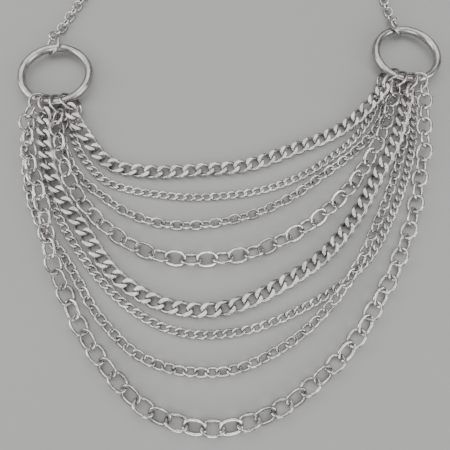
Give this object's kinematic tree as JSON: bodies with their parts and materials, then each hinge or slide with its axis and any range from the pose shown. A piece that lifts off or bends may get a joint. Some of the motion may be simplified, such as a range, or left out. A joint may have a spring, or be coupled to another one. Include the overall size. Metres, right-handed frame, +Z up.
{
  "type": "layered chain necklace",
  "caption": "Layered bib necklace of curb and cable chains hung between two large rings, closed by a fine neck chain with a clasp.",
  "frame": {"origin": "centre of the bounding box, on the surface that the necklace lies on", "axes": "+Z up from the surface, +Y from the bib toward the back of the neck, +X across the bib to the right"},
  "size_m": [0.1872, 0.2641, 0.0084],
  "materials": {
    "ring_metal": "satin polish, silver tone",
    "jump_ring_metal": "bright polish, silver tone",
    "curb_metal": "bright polish with flat faces, silver tone",
    "cable_metal": "bright polish, silver tone",
    "clasp_metal": "bright polish, silver tone"
  },
  "bodies": {
    "root": {"ring_left": "ring_metal", "ring_right": "ring_metal", "jump_left_1": "jump_ring_metal", "jump_left_2": "jump_ring_metal", "jump_left_3": "jump_ring_metal", "jump_left_4": "jump_ring_metal", "jump_left_neck": "jump_ring_metal", "jump_right_1": "jump_ring_metal", "jump_right_2": "jump_ring_metal", "jump_right_3": "jump_ring_metal", "jump_right_4": "jump_ring_metal", "jump_right_neck": "jump_ring_metal", "chain_1_heavy_curb": "curb_metal", "chain_2_fine_curb": "curb_metal", "chain_3_small_cable": "cable_metal", "chain_4_large_cable": "cable_metal", "chain_5_heavy_curb": "curb_metal", "chain_6_fine_curb": "curb_metal", "chain_7_small_cable": "cable_metal", "chain_8_large_cable": "cable_metal", "neck_chain_left": "cable_metal", "neck_chain_right": "cable_metal", "clasp": "clasp_metal"}
  },
  "joints": []
}
